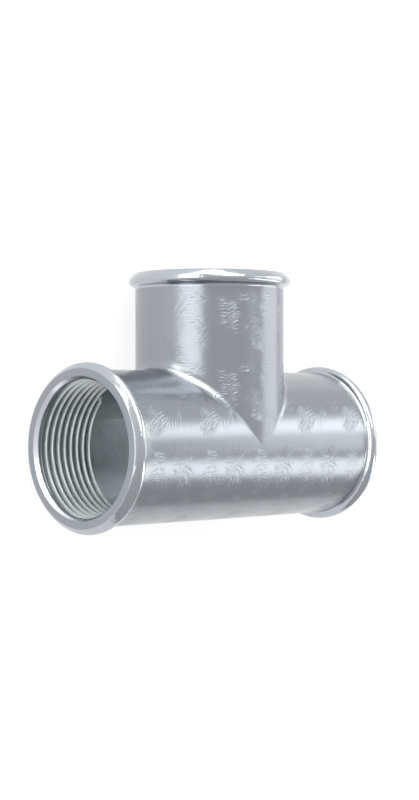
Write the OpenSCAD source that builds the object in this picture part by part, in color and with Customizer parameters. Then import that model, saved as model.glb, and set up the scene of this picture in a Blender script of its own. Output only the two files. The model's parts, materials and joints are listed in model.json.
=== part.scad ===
// Beaded malleable iron pipe tee, equal on all three mouths, in millimetres.
// It lies on its side as it comes to rest: the run along X, the branch towards +Y,
// and the three beads touching the ground at Z = 0.

/* [Tubes] */
// Outside diameter of the run and of the branch
tube_od = 45; // [40:0.1:50]
// From the crossing of the two axes to each end face
centre_to_face = 52; // [46:0.5:70]

/* [Beads] */
// How far the bead round each mouth stands out from the tube
bead_proud = 2; // [1:0.1:3]
// Radius of the bead's rounded section
bead_round = 1.7; // [1.5:0.05:2]
// From the end face to the middle of the bead
bead_setback = 2.4; // [2.2:0.05:2.8]
// How far the flat end face reaches out past the tube, before it slopes to the bead
face_rim = 0.25; // [0:0.05:0.5]
// Radius of the cove between the back of the bead and the tube
bead_cove = 0.9; // [0.4:0.1:1.6]

/* [Threaded mouths] */
// Wall left between the roots of the internal pipe thread and the outside of the tube
thread_wall = 1.55; // [1:0.05:2.5]
// Height of that thread from root to crest: the bore is left plain here, at the crests
thread_height = 1.475; // [1:0.025:1.6]
// Depth from the end face to the last turn of the thread
thread_depth = 20.5; // [14:0.5:22]
// Wall left between the countersink and the outside of the tube, at the end face
countersink_wall = 2.1; // [1.8:0.05:2.6]
// Angle between the countersink's wall and the axis
countersink_angle = 25; // [20:5:45]

/* [Waterway] */
// Wall of the casting round the cored waterway, behind the threads
waterway_wall = 1.9; // [1.6:0.05:2.4]
// Angle between the axis and the cone that opens from the thread to the waterway
shoulder_angle = 45; // [20:5:60]

/* [Crotch] */
// Radius of the cast fillet where the branch leaves the run
crotch_round = 4; // [2.5:0.1:6]
// Depth that the fillet's edges are let into the two tubes
crotch_let_in = 0.02; // [0.01:0.01:0.04]

/* [Hidden] */
$fn = 180;

tube_r = tube_od / 2;
bead_r = tube_r + bead_proud;
thread_root_r = tube_r - thread_wall;
thread_crest_r = thread_root_r - thread_height;
waterway_r = tube_r - waterway_wall;
countersink_r = tube_r - countersink_wall;
countersink_depth = (countersink_r - thread_crest_r) / tan(countersink_angle);
shoulder_length = (waterway_r - thread_crest_r) / tan(shoulder_angle);
// Clear overrun that a cutter takes past a face
cut_over = 1;

// The bead's section is a circle. A straight slope runs from the rim of the end face to its
// front, and the cove's circle touches both its back and the tube.
bead_centre_r = bead_r - bead_round;
face_r = tube_r + face_rim;
rim_to_centre = norm([bead_centre_r - face_r, bead_setback]);
slope_length = sqrt(pow(rim_to_centre, 2) - pow(bead_round, 2));
slope_angle = atan2(bead_centre_r - face_r, bead_setback) + asin(bead_round / rim_to_centre);
slope_touch_r = face_r + slope_length * sin(slope_angle);
slope_touch_depth = slope_length * cos(slope_angle);
cove_centre_r = tube_r + bead_cove;
cove_centre_depth = bead_setback
    + sqrt(pow(bead_round + bead_cove, 2) - pow(cove_centre_r - bead_centre_r, 2));
// Where the cove's circle touches the bead's
cove_touch = bead_round / (bead_round + bead_cove);
cove_touch_r = bead_centre_r + (cove_centre_r - bead_centre_r) * cove_touch;
cove_touch_depth = bead_setback + (cove_centre_depth - bead_setback) * cove_touch;

// The part's box is centred on X and Y and stands on Z = 0.
axis_height = bead_r;
run_axis_y = (bead_r - centre_to_face) / 2;

// The fillet is the shape left by a ball that rolls in the crotch. Its rings are counted
// by the angle of the ball's centre round the tubes, 0 at the deepest point of the crotch.
ball_track_r = tube_r + crotch_round - crotch_let_in;
crotch_rings = 56;
crotch_end_angle = 86;
crotch_arc_steps = 10;
// How far the fillet's root lies under the skin of both tubes
crotch_root = 0.8;
skin_r = tube_r - crotch_root;

function ball_centre(a) = ball_track_r * [cos(a), cos(a), sin(a)];
// Directions from the two tube axes to the ball's centre
function from_run(a) = [0, cos(a), sin(a)];
function from_branch(a) = [cos(a), 0, sin(a)];
// Opening angle of the arc between the two lines of touch
function arc_angle(a) = acos(sin(a) * sin(a));
// A point on the ball, t = 0 on the run's side and t = 1 on the branch's
function arc_point(a, t) =
    let (w = arc_angle(a))
    ball_centre(a)
        - crotch_round * (sin((1 - t) * w) * from_run(a) + sin(t * w) * from_branch(a)) / sin(w);
// The point under the crotch that lies crotch_root deep in both tubes
function root_point(a) =
    let (
        q2 = pow(cos(a), 2) + 4 * pow(sin(a), 2),
        q1 = ball_track_r * (pow(cos(a), 2) + 2 * pow(sin(a), 2)),
        q0 = pow(ball_track_r, 2) - pow(skin_r, 2),
        reach = (q1 - sqrt(q1 * q1 - q2 * q0)) / q2
    )
    ball_centre(a) - reach * (from_run(a) + from_branch(a));

// One ring of the fillet: the arc from the run to the branch, then the root
function crotch_ring(a) = concat(
    [for (j = [0 : crotch_arc_steps]) arc_point(a, j / crotch_arc_steps)],
    [root_point(a)]);

// Two triangles for each four-cornered patch between rings i and i + 1
function patch(i, j, n) =
    let (
        k = (j + 1) % n,
        p = i * n,
        q = (i + 1) * n
    )
    [[p + j, q + k, p + k], [p + j, q + j, q + k]];

module crotch_fillet() {
    corners = crotch_arc_steps + 2;
    step = 2 * crotch_end_angle / crotch_rings;
    rings = [for (i = [0 : crotch_rings]) crotch_ring(i * step - crotch_end_angle)];
    sides = [for (i = [0 : crotch_rings - 1]) for (j = [0 : corners - 1]) each patch(i, j, corners)];
    first_cap = [for (j = [1 : corners - 2]) [0, j, j + 1]];
    last = crotch_rings * corners;
    last_cap = [for (j = [1 : corners - 2]) [last, last + j + 1, last + j]];
    polyhedron(points = [for (ring = rings) each ring], faces = concat(sides, first_cap, last_cap));
}

// Half of the bead's and cove's section, radius along x and depth from the face along y
module bead_section() {
    translate([bead_centre_r, bead_setback])
        circle(r = bead_round);
    difference() {
        polygon([
            [0, 0],
            [face_r, 0],
            [slope_touch_r, slope_touch_depth],
            [bead_centre_r, bead_setback],
            [cove_touch_r, cove_touch_depth],
            [cove_centre_r, cove_centre_depth],
            [tube_r, cove_centre_depth],
            [0, cove_centre_depth]
        ]);
        translate([cove_centre_r, cove_centre_depth])
            circle(r = bead_cove);
    }
}

// Stands its children at a mouth: Z = 0 on the end face, +Z into the tee
module at_mouth(turn) {
    rotate([0, 0, turn])
        translate([centre_to_face, 0, 0])
            rotate([0, -90, 0])
                children();
}

// The three mouths: right and left ends of the run, and the branch
mouth_turns = [0, 180, 90];

// A run and a branch of one diameter, each reaching this far from the crossing
module crossed_tubes(r, reach) {
    rotate([90, 0, -90])
        cylinder(r = r, h = 2 * reach, center = true);
    rotate([-90, 0, 0])
        cylinder(r = r, h = reach);
}

// What a pipe meets at one mouth: plain wall of the thread, countersink and shoulder
module threaded_mouth() {
    translate([0, 0, -cut_over])
        cylinder(r = thread_crest_r, h = thread_depth + cut_over);
    translate([0, 0, -cut_over])
        cylinder(
            r1 = countersink_r + cut_over * tan(countersink_angle),
            r2 = thread_crest_r,
            h = countersink_depth + cut_over);
    translate([0, 0, thread_depth])
        cylinder(r1 = thread_crest_r, r2 = waterway_r, h = shoulder_length);
}

module outer_casting() {
    crossed_tubes(tube_r, centre_to_face - bead_setback);
    for (turn = mouth_turns)
        at_mouth(turn)
            rotate_extrude()
                bead_section();
    crotch_fillet();
    mirror([1, 0, 0])
        crotch_fillet();
}

module tee_body() {
    color("silver")
        translate([0, run_axis_y, axis_height])
            difference() {
                outer_casting();
                crossed_tubes(waterway_r, centre_to_face - thread_depth - shoulder_length);
                for (turn = mouth_turns)
                    at_mouth(turn)
                        threaded_mouth();
            }
}

tee_body();
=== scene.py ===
# %% [markdown]
# A malleable iron pipe tee
#
# The real piece is one hollow casting: a straight run, a branch of the same bore square to it,
# a rounded bead that stiffens each mouth, and a pipe thread cut into each mouth. It was dipped in
# molten zinc, so it has a bright blue-grey skin with fine curved streaks in it.
#
# The solid model gives the outside sizes. This lesson models the casting again as one smooth mesh,
# because the solid has no thread and its crotch is faceted. Everything is in metres, in the same
# frame as the solid: the run along X, the branch towards +Y, the ground at Z = 0.

# %% Load the solid model
import json
import math

import bmesh
import bpy
from mathutils import Matrix, Vector


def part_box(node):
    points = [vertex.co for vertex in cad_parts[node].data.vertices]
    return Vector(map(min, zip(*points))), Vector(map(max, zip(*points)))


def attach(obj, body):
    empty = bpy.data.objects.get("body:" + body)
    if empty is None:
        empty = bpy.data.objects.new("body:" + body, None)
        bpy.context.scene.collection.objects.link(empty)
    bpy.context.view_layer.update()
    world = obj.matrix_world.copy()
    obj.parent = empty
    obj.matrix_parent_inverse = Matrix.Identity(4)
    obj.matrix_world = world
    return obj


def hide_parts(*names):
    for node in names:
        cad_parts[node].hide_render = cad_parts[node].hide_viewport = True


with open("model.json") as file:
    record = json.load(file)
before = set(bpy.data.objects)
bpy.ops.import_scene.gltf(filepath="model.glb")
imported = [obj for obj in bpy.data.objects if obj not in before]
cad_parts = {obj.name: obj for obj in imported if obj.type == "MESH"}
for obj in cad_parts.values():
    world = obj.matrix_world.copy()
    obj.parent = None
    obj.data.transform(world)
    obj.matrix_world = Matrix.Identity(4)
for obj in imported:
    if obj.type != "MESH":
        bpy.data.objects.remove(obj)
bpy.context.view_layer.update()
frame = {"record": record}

# %% [markdown]
# The camera
#
# The camera comes first, because everything is judged through it. The photograph looks level at a
# tee that stands with its branch up. This tee lies on its side, so the same view is had by looking
# down at it at 45 degrees, with the top of the picture towards the branch. A long lens from half a
# metre keeps the run's far end almost as large as its near end. The picture is upright, so Blender
# fits the sensor's 36 mm to its height.

# %% Place the camera
MM = 0.001
low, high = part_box("tee_body")
centre_to_face = (high.x - low.x) / 2
bead_r = (high.z - low.z) / 2
crossing = Vector((0, low.y + bead_r, low.z + bead_r))
box_middle = (low + high) / 2

view_turn = math.radians(45.26)
view_distance = 520.4 * MM
focal_length_px = 1714.5
frame_height_px = 800
sensor_mm = 36

across = Vector((math.cos(view_turn), 0, math.sin(view_turn)))
up_in_picture = Vector((0, 1, 0))
towards_viewer = Vector((-math.sin(view_turn), 0, math.cos(view_turn)))
camera = bpy.data.objects.new("camera", bpy.data.cameras.new("camera"))
bpy.context.scene.collection.objects.link(camera)
camera.data.sensor_width = sensor_mm
camera.data.lens = focal_length_px * sensor_mm / frame_height_px
camera.matrix_world = Matrix((across, up_in_picture, towards_viewer)).transposed().to_4x4()
camera.location = box_middle + towards_viewer * view_distance
bpy.context.scene.camera = camera
print("lens", round(camera.data.lens, 2), "mm at", [round(v, 3) for v in camera.location])

# %% [markdown]
# The sizes
#
# The outside reach comes from the solid, and the thread's crest circle from its mounts. The other
# sizes are those of the real piece: a tube of 45 mm, a bead rounded at 1.7 mm whose front slopes to
# a flat end face, and a pipe thread of 11 turns to the inch whose root circle is 41.9 mm.

# %% Name the sizes
mouth_mounts = frame["record"]["mounts"]
thread_crest_r = mouth_mounts[0]["dims"]["r_mm"] * MM
tube_r = 22.5 * MM
bead_round = 1.7 * MM
bead_setback = 2.4 * MM
bead_cove = 0.9 * MM
face_r = tube_r + 0.4 * MM
countersink_r = 20.55 * MM
countersink_slope = math.tan(math.radians(33))
thread_root_r = 20.95 * MM
thread_depth = 20.5 * MM
waterway_r = 20.6 * MM
crotch_round = 4.0 * MM
pitch = 25.4 / 11 * MM
# Every round is drawn with this many steps, so that all edges meet point to point.
STEPS = 144
print("mouths:", len(mouth_mounts), "pitch", round(pitch / MM, 3), "mm")

# %% [markdown]
# Small tools for the mesh work
#
# One arm is modelled by itself, standing at its mouth: its own Z axis starts on the end face and
# points into the tee. An arc is drawn by spinning a single point about the arc's centre, and a
# tube or bead by spinning a whole outline about the arm's axis. A joined bmesh collects the arms.

# %% Tools to draw, spin and join
ARM_AXIS = Vector((0, 0, 1))
OUTLINE_NORMAL = Vector((0, 1, 0))
# Points of an arm that are nearer to each other than this are merged.
SAME_POINT = 0.002 * MM


def outline_point(bm, radius, depth):
    return bm.verts.new((radius, 0, depth))


def line_to(bm, start, radius, depth, parts=1):
    """Draws a straight line in the outline, in equal parts, and returns its last point."""
    here = start
    for i in range(1, parts + 1):
        target = start.co.lerp(Vector((radius, 0, depth)), i / parts)
        there = bm.verts.new(target)
        bm.edges.new((here, there))
        here = there
    return here


def arc_about(bm, start, radius, depth, degrees, steps):
    """Spins one point about a centre in the outline and returns the arc's last point."""
    spun = bmesh.ops.spin(
        bm, geom=[start], cent=(radius, 0, depth), axis=OUTLINE_NORMAL,
        angle=math.radians(degrees), steps=steps, use_duplicate=False)
    return [v for v in spun["geom_last"] if isinstance(v, bmesh.types.BMVert)][0]


def turn_on_axis(bm):
    """Spins everything drawn so far once round the arm's axis."""
    bmesh.ops.spin(
        bm, geom=bm.verts[:] + bm.edges[:], cent=(0, 0, 0), axis=ARM_AXIS,
        angle=2 * math.pi, steps=STEPS, use_merge=True, use_duplicate=False)
    bmesh.ops.remove_doubles(bm, verts=bm.verts, dist=SAME_POINT)


def join(target, piece, matrix):
    """Adds a placed copy of one bmesh to another."""
    mesh = bpy.data.meshes.new("joining")
    piece.to_mesh(mesh)
    mesh.transform(matrix)
    target.from_mesh(mesh)
    bpy.data.meshes.remove(mesh)


# From an arm's own frame to the near mouth, which faces -X
near_mouth = Matrix((
    (0, 0, 1, -centre_to_face),
    (0, 1, 0, 0),
    (-1, 0, 0, 0),
    (0, 0, 0, 1)))
# The other two arms are the near one turned about the crossing, so all threads stay right-handed.
mouth_places = {
    "near": near_mouth,
    "far": Matrix.Rotation(math.pi, 4, "Z") @ near_mouth,
    "branch": Matrix.Rotation(-math.pi / 2, 4, "Z") @ near_mouth,
}
print("arms:", list(mouth_places))

# %% [markdown]
# The outside of an arm
#
# The end face is turned flat, and its rim is worn slightly round. A short slope leads from that rim
# to the round of the bead, a small cove leads from the bead's back to the tube, and the tube is
# straight. A lathe would make this shape, so one outline is drawn and spun. The last stretch of tube
# has no rings, because the crotch will cut across it.

# %% Draw and spin the outside
bead_centre_r = bead_r - bead_round
rim_to_centre = math.hypot(bead_centre_r - face_r, bead_setback)
slope_length = math.sqrt(rim_to_centre ** 2 - bead_round ** 2)
# The slope touches the bead's round, so its angle follows from the two circles' places.
slope_angle = math.atan2(bead_centre_r - face_r, bead_setback) + math.asin(
    bead_round / rim_to_centre)
slope_end_r = face_r + slope_length * math.sin(slope_angle)
slope_end_depth = slope_length * math.cos(slope_angle)
cove_centre_r = tube_r + bead_cove
cove_centre_depth = bead_setback + math.sqrt(
    (bead_round + bead_cove) ** 2 - (cove_centre_r - bead_centre_r) ** 2)
# The angle at which the bead's round runs into the cove
cove_angle = math.degrees(math.atan2(
    cove_centre_depth - bead_setback, cove_centre_r - bead_centre_r))
rim_round = 0.14 * MM
bead_steps = 14
cove_steps = 5
# Rings on the plain tube, which end this far from the crossing
plain_rings = 6
crotch_reach = 28 * MM


def arm_outside():
    bm = bmesh.new()
    here = outline_point(bm, countersink_r, 0)
    rim = line_to(bm, here, face_r, 0)
    here = line_to(bm, rim, slope_end_r, slope_end_depth)
    bmesh.ops.bevel(
        bm, geom=[rim], offset=rim_round, offset_type="OFFSET", segments=2, profile=0.5,
        affect="VERTICES", material=-1)
    here = arc_about(
        bm, here, bead_centre_r, bead_setback, -(math.degrees(slope_angle) + cove_angle),
        bead_steps)
    here = arc_about(bm, here, cove_centre_r, cove_centre_depth, cove_angle, cove_steps)
    here = line_to(bm, here, tube_r, centre_to_face - crotch_reach, plain_rings)
    line_to(bm, here, tube_r, centre_to_face)
    turn_on_axis(bm)
    return bm


outside = arm_outside()
print("outside of an arm:", len(outside.faces), "faces")

# %% [markdown]
# The thread
#
# A pipe thread is one ridge that climbs a helix, 2.309 mm for each turn, in a bore that narrows by
# 1 in 16, so that a pipe jams tight in it. The solid is plain there, at the crests. Here the outline
# of one pitch is drawn flat, its corners are rounded with a vertex bevel, and it is spun with a
# small lift at each step, so each turn meets the one before it.
#
# Then the cutter's work is done point by point. The countersink opens the mouth, the first groove
# fades in behind it, the tap stops short in the bore, and both ends are faced off to plain circles
# that the rest of the casting can join.

# %% Draw one pitch and spin it up the bore
thread_angle = math.radians(55)
flank_height = thread_root_r - thread_crest_r
flank_length = flank_height * math.tan(thread_angle / 2)
crest_flat = 0.14 * MM
corner_cut = 0.05 * MM
# Where the ridge's crest passes the bore's -Z side for the first time
first_crest_depth = 2.1 * MM
# Turns that are spun in front of the mouth and then faced off
turns_outside = 2
# In turns: the first groove fades in between the first two numbers, and the ridge ends at the third.
groove_starts = -0.7
groove_full = -0.3
ridge_ends = 8 + 43 / 360
# 1 in 16 on the bore's width is 1 in 32 on its radius.
taper = 1 / 32
taper_middle = thread_depth / 2
bore_end = 24 * MM
runout_length = 2 * MM
sliver = 0.001 * MM


def thread_outline(bm):
    """One pitch of the thread, from root to root, with its ridge in the middle."""
    start_depth = first_crest_depth - pitch * (turns_outside + 0.5)
    half_root = (pitch - crest_flat) / 2 - flank_length
    here = outline_point(bm, thread_root_r, start_depth)
    corners = []
    for radius, depth in (
            (thread_root_r, half_root),
            (thread_crest_r, half_root + flank_length),
            (thread_crest_r, half_root + flank_length + crest_flat),
            (thread_root_r, pitch - half_root)):
        here = line_to(bm, here, radius, start_depth + depth)
        corners.append(here)
    line_to(bm, here, thread_root_r, start_depth + pitch)
    bmesh.ops.bevel(
        bm, geom=corners, offset=corner_cut, offset_type="OFFSET", segments=1,
        profile=0.5, affect="VERTICES", material=-1)
    return start_depth


def share_of_way(value, start, end):
    """How far a value has come from a start to an end, held between 0 and 1."""
    return min(max((value - start) / (end - start), 0), 1)


def wall_radius(radius, depth, turn, groove_turn):
    """The radius of the finished bore at one point of the spun thread."""
    widened = (taper_middle - min(depth, thread_depth)) * taper
    root = thread_root_r + widened
    runout = share_of_way(depth, thread_depth, thread_depth + runout_length)
    relief = root + (waterway_r - root) * runout
    if turn > ridge_ends:
        return relief
    groove = share_of_way(groove_turn, groove_starts, groove_full)
    cut = thread_crest_r + (radius - thread_crest_r) * groove + widened
    return max(min(cut, relief), countersink_r - depth * countersink_slope)


def thread_in_bore():
    bm = bmesh.new()
    start_layer = bm.verts.layers.float.new("start")
    start_depth = thread_outline(bm)
    for v in bm.verts:
        v[start_layer] = v.co.z
    turns = math.ceil((bore_end - start_depth) / pitch) + 1
    bmesh.ops.spin(
        bm, geom=bm.verts[:] + bm.edges[:], cent=(0, 0, 0), axis=ARM_AXIS,
        dvec=ARM_AXIS * (pitch / STEPS), angle=2 * math.pi * turns, steps=STEPS * turns,
        use_duplicate=False)
    for v in bm.verts:
        turn = (v.co.z - v[start_layer]) / pitch - turns_outside
        in_front_of_ridge = v[start_layer] < start_depth + pitch / 2
        radius = math.hypot(v.co.x, v.co.y)
        depth = min(max(v.co.z, 0), bore_end)
        cut = wall_radius(radius, depth, turn, turn - in_front_of_ridge)
        v.co.x *= cut / radius
        v.co.y *= cut / radius
        v.co.z = depth
    bmesh.ops.remove_doubles(bm, verts=bm.verts, dist=SAME_POINT)
    bmesh.ops.dissolve_degenerate(bm, edges=bm.edges, dist=sliver)
    return bm


inside = thread_in_bore()
print("threaded bore:", len(inside.faces), "faces")

# %% [markdown]
# The waterway
#
# Behind the threads the bore is left as the sand core made it: a plain tube, a little wider than
# the thread, that runs on to the crossing.

# %% Draw and spin the waterway
def waterway():
    bm = bmesh.new()
    here = outline_point(bm, waterway_r, bore_end)
    line_to(bm, here, waterway_r, centre_to_face)
    turn_on_axis(bm)
    return bm


core = waterway()
print("waterway of an arm:", len(core.faces), "faces")

# %% [markdown]
# Three arms, trimmed to each other
#
# Two tubes of one size meet in two flat mitres, so plain bisecting planes trim them exactly. On the
# outside, the planes lean back to the two lines where the crotch's fillet will touch the tubes:
# a ball of radius r rolled along two tubes of radius R touches each at 1 + r/R times the mitre.

# %% Place, trim and join the arms
on_the_plane = 0.0005 * MM


def trimmed_arm(piece, place, name, setback):
    """A copy of a piece of one arm, placed about the crossing and cut at the mitres."""
    arm = bmesh.new()
    join(arm, piece, mouth_places[place])
    lean = 1 + setback
    planes = {
        "near": [(1, lean, 0)],
        "far": [(-1, lean, 0)],
        "branch": [(lean, -1, 0), (-lean, -1, 0)],
    }[place]
    for normal in planes:
        bmesh.ops.bisect_plane(
            arm, geom=arm.verts[:] + arm.edges[:] + arm.faces[:], dist=on_the_plane,
            plane_co=(0, 0, 0), plane_no=Vector(normal).normalized(), clear_outer=True)
    print(" ", place, name, len(arm.faces), "faces")
    return arm


casting = bmesh.new()
for place in mouth_places:
    join(casting, trimmed_arm(outside, place, "outside", crotch_round / tube_r), Matrix())
    join(casting, trimmed_arm(core, place, "waterway", 0), Matrix())
    join(casting, inside, mouth_places[place])
print("three arms:", len(casting.faces), "faces")

# %% [markdown]
# The fillet in the crotch
#
# This is the part that takes most care. Round each tube, at every rung of the mesh, a ball that
# rolls in the crotch touches the run at one point and the branch at another. One point is spun
# about the ball's centre from the first to the second, and each arc is bridged to the next, so the
# strip meets both trimmed tubes point to point and leaves them without a crease.

# %% Spin the arcs and bridge them
fillet_steps = 10
# At its two tips the strip narrows to nothing, so its arcs are kept this much open there.
FLAT_TIP = 0.0002
# The strip's points meet those of the trimmed arms within this distance.
seam = 0.012 * MM


def rolling_arc(bm, turn):
    """The arc that the rolling ball leaves at one angle round the tubes, as a list of edges."""
    sine = math.sin(turn)
    cosine = max(math.cos(turn), FLAT_TIP)
    track_r = tube_r + crotch_round
    ball = Vector((track_r * cosine, track_r * cosine, track_r * sine))
    touch = Vector((track_r * cosine, tube_r * cosine, tube_r * sine))
    opening = math.acos(sine * sine) if cosine > FLAT_TIP else FLAT_TIP
    start = bm.verts.new(touch)
    before = set(bm.edges)
    bmesh.ops.spin(
        bm, geom=[start], cent=ball, axis=Vector((sine, sine, -cosine)).normalized(),
        angle=opening, steps=fillet_steps, use_duplicate=False)
    return [e for e in bm.edges if e not in before]


fillet = bmesh.new()
rungs = STEPS // 2
arcs = [rolling_arc(fillet, math.pi * (i / rungs - 0.5)) for i in range(rungs + 1)]
for first, second in zip(arcs, arcs[1:]):
    bmesh.ops.bridge_loops(fillet, edges=first + second)
join(casting, fillet, Matrix())
join(casting, fillet, Matrix.Scale(-1, 4, Vector((1, 0, 0))))
bmesh.ops.remove_doubles(casting, verts=casting.verts, dist=seam)
bmesh.ops.recalc_face_normals(casting, faces=casting.faces)
open_edges = [e for e in casting.edges if not e.is_manifold]
print("fillet:", len(fillet.faces), "faces, open edges in the whole casting:", len(open_edges))

# %% [markdown]
# One object from the mesh
#
# The joined mesh becomes one piece that takes the place of the solid. Each face gets the number of
# its finish: the cast skin of the run and of the branch, the beads, the turned end faces, the
# countersinks or the bores. It could be split into one object for each finish, but a casting is one
# piece, and its shading runs on across the borders. Faces that meet at more than 30 degrees keep a
# hard edge, and all others are shaded smoothly.

# %% Give each face its finish
RUN_SKIN, BRANCH_SKIN, BEAD, FACED, COUNTERSINK, BORE = range(6)
sharp_angle = math.radians(30)
# Margins that tell on which surface the middle of a face lies
on_the_face = 0.01 * MM
on_the_cone = 0.03 * MM
in_the_bore = 0.5 * MM


def on_branch(point):
    return point.y > abs(point.x)


def depth_and_radius(point):
    """Depth from the mouth and distance from the axis, for the arm that the point is on."""
    if on_branch(point):
        return centre_to_face - point.y, math.hypot(point.x, point.z)
    return centre_to_face - abs(point.x), math.hypot(point.y, point.z)


def finish_of(face):
    centre = face.calc_center_median()
    depth, radius = depth_and_radius(centre)
    if depth < on_the_face and radius < face_r:
        return FACED
    if abs(countersink_r - depth * countersink_slope - radius) < on_the_cone:
        return COUNTERSINK
    if radius < thread_root_r + in_the_bore:
        return BORE
    if depth < cove_centre_depth:
        return BEAD
    return BRANCH_SKIN if on_branch(centre) else RUN_SKIN


for face in casting.faces:
    face.smooth = True
    face.material_index = finish_of(face)
for edge in casting.edges:
    edge.smooth = edge.calc_face_angle(0) < sharp_angle
print("bore faces:", sum(f.material_index == BORE for f in casting.faces))

# %% [markdown]
# A map of the skins
#
# The run and the branch are unrolled like paper tubes, in millimetres, along the tube and round it.
# The streaks are laid out on that map, so they follow the skin and don't cut through it. Blender's own
# unwrapping would scale and turn its islands as they pack best, so the map is worked out from each
# corner's place.

# %% Unroll the skins and make the object
uv_layer = casting.loops.layers.uv.new("along_and_round")


def angle_round(point, branch):
    return math.atan2(point.x if branch else point.y, point.z)


for face in casting.faces:
    centre = face.calc_center_median()
    branch = on_branch(centre)
    middle_angle = angle_round(centre, branch)
    for loop in face.loops:
        co = loop.vert.co
        angle = angle_round(co, branch)
        # On the seam of the map, a face's corners all stay on the side of its middle.
        if angle - middle_angle > math.pi:
            angle -= 2 * math.pi
        if angle - middle_angle < -math.pi:
            angle += 2 * math.pi
        loop[uv_layer].uv = ((co.y if branch else co.x) / MM, angle * tube_r / MM)

bmesh.ops.translate(casting, verts=casting.verts, vec=crossing)
mesh = bpy.data.meshes.new("tee_casting")
casting.to_mesh(mesh)
tee = bpy.data.objects.new("tee_casting", mesh)
bpy.context.scene.collection.objects.link(tee)
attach(tee, "root")
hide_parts("tee_body")
print("tee_casting:", len(mesh.vertices), "vertices,",
      sum(len(p.vertices) - 2 for p in mesh.polygons), "triangles")

# %% [markdown]
# The metals
#
# All finishes are bare metal, so what they show is mostly a blurred picture of the room. A metal's
# base colour is how much it sends back, and its roughness is how far the picture is blurred. The
# turned ring has no zinc, the fresh cut of the countersink is the brightest, and the bores have a
# dull bloom on them that scatters a little light into the thread. Bands painted on the metal would
# stay put when the view turns, so the bands are left to the lights.

# %% Make a metal
def metal(name, colour, roughness, metallic=1):
    material = bpy.data.materials.new(name)
    material.use_nodes = True
    shader = material.node_tree.nodes["Principled BSDF"]
    shader.inputs["Base Color"].default_value = (*colour, 1)
    shader.inputs["Metallic"].default_value = metallic
    shader.inputs["Roughness"].default_value = roughness
    mesh.materials.append(material)
    return material


# The materials are added in the order of the finishes' numbers.
SKIN_COLOUR = (0.295, 0.314, 0.338)
run_zinc = metal("run_zinc", SKIN_COLOUR, 0.24)
branch_zinc = metal("branch_zinc", SKIN_COLOUR, 0.24)
bead_zinc = metal("bead_zinc", (0.43, 0.455, 0.485), 0.16)
faced_iron = metal("faced_iron", (0.30, 0.32, 0.35), 0.30)
cut_zinc = metal("cut_zinc", (0.80, 0.83, 0.87), 0.26)
bore_zinc = metal("bore_zinc", (0.48, 0.515, 0.53), 0.31, metallic=0.9)
print("finishes:", [m.name for m in mesh.materials])

# %% [markdown]
# Surfaces that aren't quite even
#
# A turned ring has tool marks and a dipped bead has small waves. Both are too low to be modelled, but
# they break the mirror picture a little. A noise on the piece's own coordinates gives the bump.

# %% Make the plain metals a little uneven
UNEVEN_DETAIL = 2


def uneven(material, scale, height):
    tree = material.node_tree
    spot = tree.nodes.new("ShaderNodeTexCoord")
    noise = tree.nodes.new("ShaderNodeTexNoise")
    noise.inputs["Scale"].default_value = scale
    noise.inputs["Detail"].default_value = UNEVEN_DETAIL
    tree.links.new(spot.outputs["Object"], noise.inputs["Vector"])
    bump = tree.nodes.new("ShaderNodeBump")
    bump.inputs["Distance"].default_value = height
    tree.links.new(noise.outputs[0], bump.inputs["Height"])
    tree.links.new(bump.outputs[0], tree.nodes["Principled BSDF"].inputs["Normal"])
    print(material.name, "is uneven by", round(height / MM, 3), "mm")


uneven(bead_zinc, 420, 0.10 * MM)
uneven(faced_iron, 600, 0.08 * MM)
uneven(cut_zinc, 500, 0.015 * MM)
uneven(bore_zinc, 300, 0.10 * MM)

# %% [markdown]
# Streaks in the zinc
#
# Where the zinc ran off and set, it left patches of fine curved hairs. They barely have a colour of
# their own. They tilt the shine a little, so a patch looks dark in a bright band and light in a
# dark one, and that is what a bump does.
#
# Patterns like these are sums and products of simple nodes, so three short helpers add a Math node,
# a Noise Texture and a soft ramp.

# %% Helpers for the nodes
def math_node(tree, operation, *values):
    """One Math node, fed with numbers or with the outputs of other nodes."""
    node = tree.nodes.new("ShaderNodeMath")
    node.operation = operation
    for socket, value in zip(node.inputs, values):
        if isinstance(value, (int, float)):
            socket.default_value = value
        else:
            tree.links.new(value, socket)
    return node.outputs[0]


def noise_node(tree, u, v, scale, detail=0.0):
    spot = tree.nodes.new("ShaderNodeCombineXYZ")
    tree.links.new(u, spot.inputs["X"])
    tree.links.new(v, spot.inputs["Y"])
    noise = tree.nodes.new("ShaderNodeTexNoise")
    noise.noise_dimensions = "2D"
    noise.inputs["Scale"].default_value = scale
    noise.inputs["Detail"].default_value = detail
    tree.links.new(spot.outputs[0], noise.inputs["Vector"])
    return noise.outputs[0]


def ramp_node(tree, value, low, high):
    ramp = tree.nodes.new("ShaderNodeMapRange")
    ramp.interpolation_type = "SMOOTHSTEP"
    ramp.inputs["From Min"].default_value = low
    ramp.inputs["From Max"].default_value = high
    tree.links.new(value, ramp.inputs["Value"])
    return ramp.outputs[0]


print("helpers:", math_node.__name__, noise_node.__name__, ramp_node.__name__)

# %% [markdown]
# One patch of hairs
#
# A patch is laid out on the map of the skin, in millimetres. A noise is squeezed across the hairs and
# stretched along them, bent by a parabola, spread like a fan, and kept inside a ragged oval. One
# node group holds that, and each patch is one use of it with its own place and lie. In the picture
# the patches come back after 20.83 mm along a tube and after a quarter turn round it.

# %% Make the patch of hairs
REPEAT_ALONG = 20.83
REPEAT_ROUND = math.pi / 2 * tube_r / MM
PATCH_VALUES = ("centre_u", "centre_v", "half_u", "half_v", "lie", "bend", "fan", "height")
HAIR_SCALE = 2.5
HAIR_DETAIL = 1.0
# A hair is this much slower to change along its length than across it.
HAIR_STRETCH = 0.14
NOISE_MIDDLE = 0.5
RAGGED_SCALE = 1.1
RAGGED_DEPTH = 1.4
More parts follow.
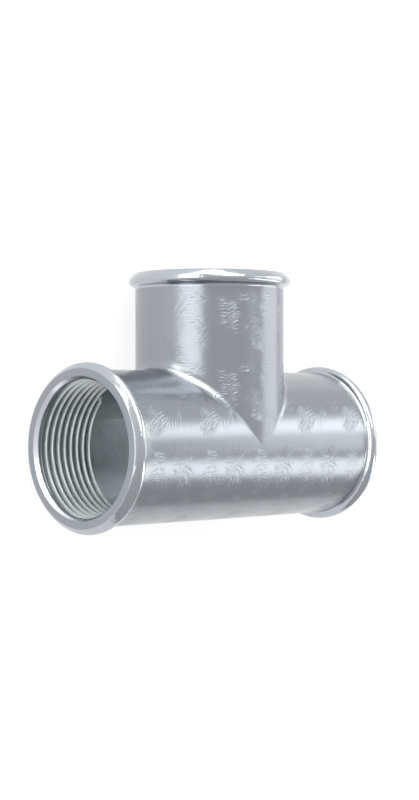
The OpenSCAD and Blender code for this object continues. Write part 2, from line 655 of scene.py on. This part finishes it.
# The patch fades out between these two distances, squared and ragged, in half sizes of its oval.
PATCH_FULL = 0.7
PATCH_GONE = 2.2


def hair_patch_group():
    tree = bpy.data.node_groups.new("hair_patch", "ShaderNodeTree")
    for name in ("u", "v") + PATCH_VALUES:
        tree.interface.new_socket(name, in_out="INPUT", socket_type="NodeSocketFloat")
    for name in ("hairs", "inside"):
        tree.interface.new_socket(name, in_out="OUTPUT", socket_type="NodeSocketFloat")
    given = tree.nodes.new("NodeGroupInput").outputs

    def times(a, b):
        return math_node(tree, "MULTIPLY", a, b)

    def plus(a, b):
        return math_node(tree, "ADD", a, b)

    def minus(a, b):
        return math_node(tree, "SUBTRACT", a, b)

    u = minus(given["u"], given["centre_u"])
    u = math_node(tree, "WRAP", u, REPEAT_ALONG / 2, -REPEAT_ALONG / 2)
    v = minus(given["v"], given["centre_v"])
    cosine = math_node(tree, "COSINE", given["lie"])
    sine = math_node(tree, "SINE", given["lie"])
    along = plus(times(u, cosine), times(v, sine))
    beside = minus(times(v, cosine), times(u, sine))
    beside = minus(beside, times(times(along, along), given["bend"]))
    beside = math_node(tree, "DIVIDE", beside, plus(times(along, given["fan"]), 1))
    stretched = plus(times(along, HAIR_STRETCH), given["centre_v"])
    hairs = minus(noise_node(tree, stretched, beside, HAIR_SCALE, HAIR_DETAIL), NOISE_MIDDLE)
    out_u = math_node(tree, "DIVIDE", u, given["half_u"])
    out_v = math_node(tree, "DIVIDE", v, given["half_v"])
    out = plus(times(out_u, out_u), times(out_v, out_v))
    ragged = times(noise_node(tree, stretched, beside, RAGGED_SCALE), RAGGED_DEPTH)
    inside = ramp_node(tree, plus(out, ragged), PATCH_GONE, PATCH_FULL)
    done = tree.nodes.new("NodeGroupOutput").inputs
    tree.links.new(times(times(hairs, inside), given["height"]), done["hairs"])
    tree.links.new(times(inside, given["height"]), done["inside"])
    return tree


hair_patch = hair_patch_group()
print("hair patch:", len(hair_patch.nodes), "nodes")

# %% Place the patches
# Each row: place along and round in mm, half its length and breadth, the hairs' lie in degrees,
# their bend and fan, and the height.
RUN_PATCHES = (
    (-37.6, 14.6, 3.4, 3.0, 70, 0.05, 0.04, 0.7),
    (-36.6, -9.6, 3.0, 2.8, 50, 0.05, 0.06, 0.6),
    (-41.2, 9.6, 3.8, 3.6, 38, -0.05, 0.00, 1.0),
    (-43.0, 6.0, 3.8, 2.6, 40, -0.04, 0.03, 1.0),
    (-33.1, 11.4, 1.7, 3.4, 82, 0.03, 0.05, 0.8),
    (-36.5, 7.5, 2.6, 2.6, 88, 0.02, 0.05, 0.5),
    (-27.2, 14.0, 3.2, 3.0, 15, 0.05, 0.00, 0.8),
    (-43.0, 15.2, 4.0, 2.2, 5, 0.03, 0.00, 0.7),
    (-42.2, -2.0, 2.8, 2.4, 0, 0.12, 0.00, 0.6),
    (-32.3, -2.2, 3.8, 3.0, 60, -0.10, 0.12, 0.6),
    (-42.9, -6.6, 4.4, 3.2, 25, -0.06, 0.08, 0.65),
    (-33.8, -6.0, 2.8, 2.6, 20, 0.10, 0.00, 0.65),
    (-30.2, -6.6, 2.6, 2.8, -35, 0.06, 0.00, 0.65),
    (-30.4, -11.4, 3.4, 3.2, 96, 0.05, 0.10, 0.7),
    (-39.4, -12.0, 4.4, 3.6, 80, 0.06, 0.10, 0.6),
    (-26.6, -16.2, 2.4, 1.4, 10, 0.00, 0.00, 0.7),
)
BRANCH_PATCHES = (
    (45.0, 10.0, 1.8, 3.4, 88, 0.00, 0.00, 0.9),
    (44.6, 2.0, 1.6, 3.0, 86, 0.03, 0.00, 0.7),
    (34.0, 16.6, 3.6, 2.6, 70, 0.06, 0.00, 0.8),
    (28.0, 9.0, 3.2, 3.4, 80, 0.06, 0.05, 0.6),
    (43.6, 15.4, 2.0, 3.6, 80, 0.00, 0.00, 1.0),
    (40.6, 11.0, 3.4, 4.2, 75, 0.06, 0.06, 1.0),
    (35.2, 11.6, 3.2, 4.0, 84, 0.10, 0.00, 1.0),
    (30.0, 15.0, 3.0, 3.0, 100, 0.05, 0.00, 0.7),
    (39.5, -15.0, 6.0, 3.0, 80, 0.08, 0.00, 0.8),
    (38.0, -10.6, 5.4, 3.0, 64, 0.08, 0.05, 0.9),
    (44.0, -6.6, 1.8, 3.0, 70, -0.05, 0.00, 1.0),
    (36.2, -5.0, 3.0, 3.2, 38, 0.04, 0.15, 1.0),
    (31.5, -1.5, 3.6, 3.4, 60, -0.06, 0.08, 0.9),
    (41.0, 0.6, 2.4, 2.6, 72, 0.06, 0.05, 0.8),
    (30.5, 4.4, 2.6, 3.0, 100, 0.08, 0.08, 0.6),
)
print("patches:", len(RUN_PATCHES), "on the run,", len(BRANCH_PATCHES), "on the branch")

# %% [markdown]
# The streaked skins
#
# The skin's height is a faint grain all over, longer round the tube than along it, plus every patch
# of hairs. Inside a patch the skin is also a little duller.

# %% Lay the patches on the skins
GRAIN_ALONG = 0.9
GRAIN_ROUND = 0.3
GRAIN_SCALE = 1.1
GRAIN_DETAIL = 1.0
GRAIN_SHARE = 0.09
HAIR_HEIGHT = 0.13 * MM
HAIR_DULLNESS = 0.02


def streaky(material, patches):
    tree = material.node_tree
    unrolled = tree.nodes.new("ShaderNodeUVMap")
    unrolled.uv_map = "along_and_round"
    place = tree.nodes.new("ShaderNodeSeparateXYZ")
    tree.links.new(unrolled.outputs[0], place.inputs[0])
    along, round_it = place.outputs["X"], place.outputs["Y"]
    tile_v = math_node(tree, "WRAP", round_it, REPEAT_ROUND / 2, -REPEAT_ROUND / 2)
    grain = noise_node(
        tree, math_node(tree, "MULTIPLY", along, GRAIN_ALONG),
        math_node(tree, "MULTIPLY", round_it, GRAIN_ROUND), GRAIN_SCALE, GRAIN_DETAIL)
    height = math_node(tree, "MULTIPLY", grain, GRAIN_SHARE)
    dull = 0.0
    for patch in patches:
        use = tree.nodes.new("ShaderNodeGroup")
        use.node_tree = hair_patch
        for name, value in zip(PATCH_VALUES, patch):
            use.inputs[name].default_value = math.radians(value) if name == "lie" else value
        tree.links.new(along, use.inputs["u"])
        tree.links.new(tile_v, use.inputs["v"])
        height = math_node(tree, "ADD", height, use.outputs["hairs"])
        dull = math_node(tree, "ADD", use.outputs["inside"], dull)
    bump = tree.nodes.new("ShaderNodeBump")
    bump.inputs["Distance"].default_value = HAIR_HEIGHT
    tree.links.new(height, bump.inputs["Height"])
    shader = tree.nodes["Principled BSDF"]
    tree.links.new(bump.outputs[0], shader.inputs["Normal"])
    polish = shader.inputs["Roughness"].default_value
    roughness = math_node(tree, "MULTIPLY_ADD", dull, HAIR_DULLNESS, polish)
    tree.links.new(roughness, shader.inputs["Roughness"])
    print(material.name, "patches:", len(patches))


streaky(run_zinc, RUN_PATCHES)
streaky(branch_zinc, BRANCH_PATCHES)

# %% [markdown]
# The floor
#
# The floor is plain white paint that still takes the tee's shadow. What the camera or a mirror ray
# sees of it also glows a little, up to white, so the background stays white with no lamp turned up.
# The glow dies away towards -Y, below the tee in the picture, where the run would mirror too much of
# it. It isn't sampled as a lamp, because it is meant to be seen and not to light anything.

# %% Lay the floor
scene = bpy.context.scene
floor_half = 3
floor_mesh = bpy.data.meshes.new("floor")
bm = bmesh.new()
bmesh.ops.create_grid(bm, x_segments=1, y_segments=1, size=floor_half)
bm.to_mesh(floor_mesh)
floor = bpy.data.objects.new("floor", floor_mesh)
scene.collection.objects.link(floor)
print("floor:", 2 * floor_half, "m square")

# %% Paint the floor
# The glow is least at the first Y, full at the second, and has these two strengths there.
glow_range = {"From Min": -0.5, "From Max": -0.17, "To Min": 0.22, "To Max": 0.82}
# The paint is paler for the light that it scatters than for the rays that look at it.
scattering_white = (0.9, 0.9, 0.9, 1)
seen_white = (0.24, 0.24, 0.24, 1)


def blend_of_colours(tree, factor, first, second):
    """A Mix node between two colours. Its colour sockets are its seventh and eighth."""
    mix = tree.nodes.new("ShaderNodeMix")
    mix.data_type = "RGBA"
    mix.inputs[6].default_value = first
    mix.inputs[7].default_value = second
    tree.links.new(factor, mix.inputs["Factor"])
    return mix.outputs[2]


def paint_floor():
    paint = bpy.data.materials.new("white_floor")
    paint.use_nodes = True
    paint.cycles.emission_sampling = "NONE"
    tree = paint.node_tree
    rays = tree.nodes.new("ShaderNodeLightPath")
    seen = 0
    for kind in ("Is Camera Ray", "Is Glossy Ray", "Is Transmission Ray"):
        seen = math_node(tree, "MAXIMUM", seen, rays.outputs[kind])
    place = tree.nodes.new("ShaderNodeTexCoord")
    axes = tree.nodes.new("ShaderNodeSeparateXYZ")
    tree.links.new(place.outputs["Object"], axes.inputs[0])
    fade = tree.nodes.new("ShaderNodeMapRange")
    fade.interpolation_type = "SMOOTHSTEP"
    for socket, value in glow_range.items():
        fade.inputs[socket].default_value = value
    tree.links.new(axes.outputs["Y"], fade.inputs["Value"])
    glow = math_node(tree, "MULTIPLY", seen, fade.outputs[0])
    coat = blend_of_colours(tree, seen, scattering_white, seen_white)
    shader = tree.nodes["Principled BSDF"]
    shader.inputs["Roughness"].default_value = 1
    shader.inputs["Specular IOR Level"].default_value = 0
    shader.inputs["Emission Color"].default_value = (1, 1, 1, 1)
    tree.links.new(coat, shader.inputs["Base Color"])
    tree.links.new(glow, shader.inputs["Emission Strength"])
    return paint


floor_mesh.materials.append(paint_floor())
print("floor paint:", floor_mesh.materials[0].name)

# %% [markdown]
# The lights
#
# A product picture of bare metal is made under large soft lights, since the metal shows the lights
# and hardly anything else. Each light here stands where its mirror picture falls on a bright part of
# the tee: two tall keys beyond the branch's mouth give the white on the fillet and on the beads, two
# strips give the run's two long bands, the left and right panels give the branch's two upright
# bands, and the mouth panel lights the threads from in front.

# %% Hang the lights
def softbox(name, towards, distance, size_across, size_along, brightness, along):
    """A soft light that faces the tee. Its brightness is that of its face, whatever its size."""
    lamp = bpy.data.lights.new(name, "AREA")
    lamp.shape = "RECTANGLE"
    lamp.size = size_across
    lamp.size_y = size_along
    lamp.energy = brightness * math.pi * size_across * size_along
    box = bpy.data.objects.new(name, lamp)
    scene.collection.objects.link(box)
    away = Vector(towards).normalized()
    side = Vector(along) - away * away.dot(Vector(along))
    side.normalize()
    box.matrix_world = Matrix((side.cross(away), side, away)).transposed().to_4x4()
    box.location = crossing + away * distance


# Each row: name, direction from the tee, distance, size across and size along in metres,
# brightness, and the direction that the size along is measured in.
lights = (
    ("low_key", (-0.13, 1, 0.055), 0.75, 1.50, 0.28, 3.0, (1, 0, 0)),
    ("high_key", (-0.20, 0.82, 0.54), 0.75, 1.10, 0.46, 2.6, (1, 0, 0)),
    ("low_strip", (1, -0.55, 0.82), 1.13, 0.30, 1.3, 2.15, (1, -0.32, -0.24)),
    ("top_strip", (1, 0.44, 0.88), 1.13, 0.24, 1.3, 1.36, (1, 0.36, -0.18)),
    ("left_panel", (-1, 0, 0.22), 0.9, 0.68, 0.8, 1.65, (0, 1, 0)),
    ("mouth_panel", (-1, 0.85, 0.10), 0.75, 0.40, 0.40, 2.6, (0, 0, 1)),
    ("right_panel", (0.9, 0.14, 0.46), 0.9, 0.6, 0.5, 1.05, (0, 1, 0)),
)
for light in lights:
    softbox(*light)
print("lights:", [light[0] for light in lights])

# %% [markdown]
# The room
#
# The world is a plain grey that fills in between the lights, so that no side of the metal turns
# black. It is darker towards -Y, below the tee in the picture, and lighter towards +Y. A picture of
# a real studio could fill it too, but between the lights a plain grey is enough.

# %% Fill the room
darker_grey = (0.60, 0.605, 0.61, 1)
lighter_grey = (1.10, 1.11, 1.12, 1)
world = bpy.data.worlds.new("studio")
scene.world = world
world.use_nodes = True
tree = world.node_tree
direction = tree.nodes.new("ShaderNodeTexCoord")
split = tree.nodes.new("ShaderNodeSeparateXYZ")
tree.links.new(direction.outputs["Generated"], split.inputs[0])
share = ramp_node(tree, split.outputs["Y"], -1, 1)
walls = blend_of_colours(tree, share, darker_grey, lighter_grey)
tree.links.new(walls, tree.nodes["Background"].inputs["Color"])
scene.view_settings.view_transform = "Standard"
print("world:", world.name)
